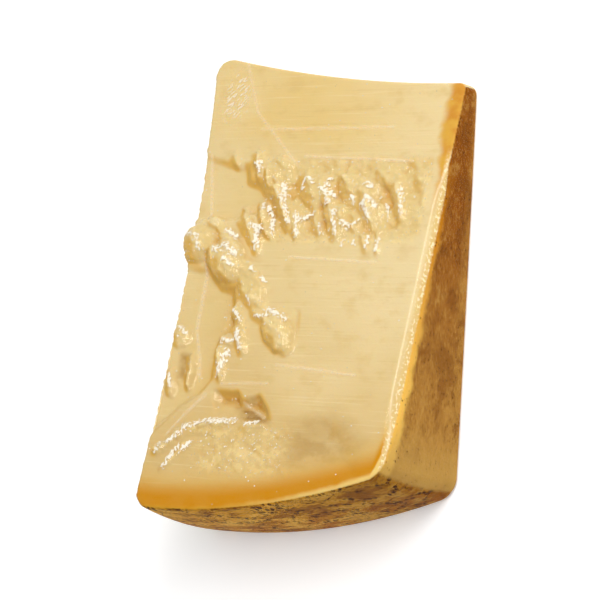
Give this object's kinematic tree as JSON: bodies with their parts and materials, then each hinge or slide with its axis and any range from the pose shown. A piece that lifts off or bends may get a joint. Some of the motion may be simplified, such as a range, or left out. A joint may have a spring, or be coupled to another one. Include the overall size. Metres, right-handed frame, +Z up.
{
  "type": "parmesan chunk",
  "caption": "Wedge of hard cheese cut from a wheel, lying on a cut face: torn upper face, flat rind side and curved rind heel, in tight clear film.",
  "frame": {"origin": "on the floor, under the middle of the chunk's bounding box", "axes": "+Z up; +Y from the heel to the thin tip; +X from the split side to the wheel's flat rind face"},
  "size_m": [0.1341, 0.2088, 0.0586],
  "materials": {
    "cheese": "pale straw-coloured hard cheese with amber edges and brown rind, under tight glossy clear film"
  },
  "bodies": {
    "root": {"cheese": "cheese"}
  },
  "joints": []
}
